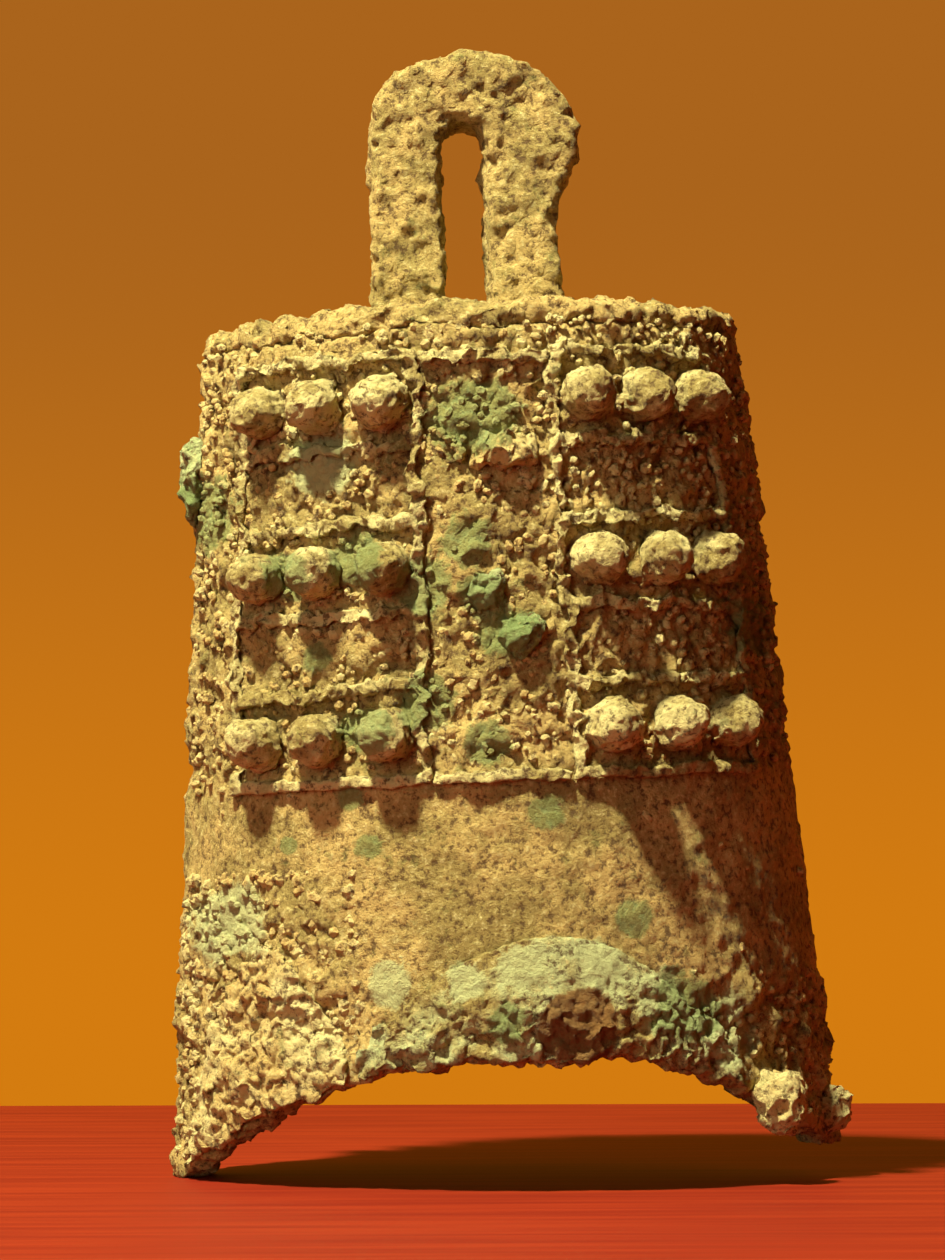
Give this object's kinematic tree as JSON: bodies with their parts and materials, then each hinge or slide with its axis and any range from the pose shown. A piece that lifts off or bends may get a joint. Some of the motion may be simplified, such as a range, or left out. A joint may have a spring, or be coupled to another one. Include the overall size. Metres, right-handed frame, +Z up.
{
  "type": "bronze bell",
  "caption": "Almond-section bronze bell with an arched mouth, strap hanging loop, framed rows of knobs and a heavy mineral crust; struck from outside, no clapper.",
  "frame": {"origin": "on the ground, midway between the two mouth tips, under the bell's axis", "axes": "+Z up to the loop, +X to the right tip seen from the front, the front faces -Y"},
  "size_m": [0.1418, 0.1035, 0.232],
  "materials": {
    "body_bronze": "burial-corroded, rough, ochre and olive",
    "relief_bronze": "burial-corroded, rough, pale on the high places",
    "malachite_crust": "matt pale green mineral",
    "earth_crust": "matt sandy crust"
  },
  "bodies": {
    "root": {"front_wall": "body_bronze", "back_wall": "body_bronze", "crown_plate": "body_bronze", "suspension_loop": "body_bronze", "knob_front_left_row1_1": "relief_bronze", "knob_front_left_row1_2": "relief_bronze", "knob_front_left_row1_3": "relief_bronze", "knob_front_left_row2_1": "relief_bronze", "knob_front_left_row2_2": "relief_bronze", "knob_front_left_row2_3": "relief_bronze", "knob_front_left_row3_1": "relief_bronze", "knob_front_left_row3_2": "relief_bronze", "knob_front_left_row3_3": "relief_bronze", "knob_front_right_row1_1": "relief_bronze", "knob_front_right_row1_2": "relief_bronze", "knob_front_right_row1_3": "relief_bronze", "knob_front_right_row2_1": "relief_bronze", "knob_front_right_row2_2": "relief_bronze", "knob_front_right_row2_3": "relief_bronze", "knob_front_right_row3_1": "relief_bronze", "knob_front_right_row3_2": "relief_bronze", "knob_front_right_row3_3": "relief_bronze", "knob_back_left_row1_1": "relief_bronze", "knob_back_left_row1_2": "relief_bronze", "knob_back_left_row1_3": "relief_bronze", "knob_back_left_row2_1": "relief_bronze", "knob_back_left_row2_2": "relief_bronze", "knob_back_left_row2_3": "relief_bronze", "knob_back_left_row3_1": "relief_bronze", "knob_back_left_row3_2": "relief_bronze", "knob_back_left_row3_3": "relief_bronze", "knob_back_right_row1_1": "relief_bronze", "knob_back_right_row1_2": "relief_bronze", "knob_back_right_row1_3": "relief_bronze", "knob_back_right_row2_1": "relief_bronze", "knob_back_right_row2_2": "relief_bronze", "knob_back_right_row2_3": "relief_bronze", "knob_back_right_row3_1": "relief_bronze", "knob_back_right_row3_2": "relief_bronze", "knob_back_right_row3_3": "relief_bronze", "panel_frame_front_left": "relief_bronze", "panel_frame_front_right": "relief_bronze", "panel_frame_back_left": "relief_bronze", "panel_frame_back_right": "relief_bronze", "middle_sill_front": "relief_bronze", "middle_sill_back": "relief_bronze", "middle_lintel_front": "relief_bronze", "middle_lintel_back": "relief_bronze", "tip_nodule_inner": "earth_crust", "tip_nodule_outer": "earth_crust", "middle_crust_lump": "earth_crust", "corner_crust_left": "earth_crust", "edge_flake_left": "malachite_crust", "malachite_ring_nodule": "malachite_crust", "malachite_button": "malachite_crust", "mouth_crust_front": "malachite_crust"}
  },
  "joints": []
}
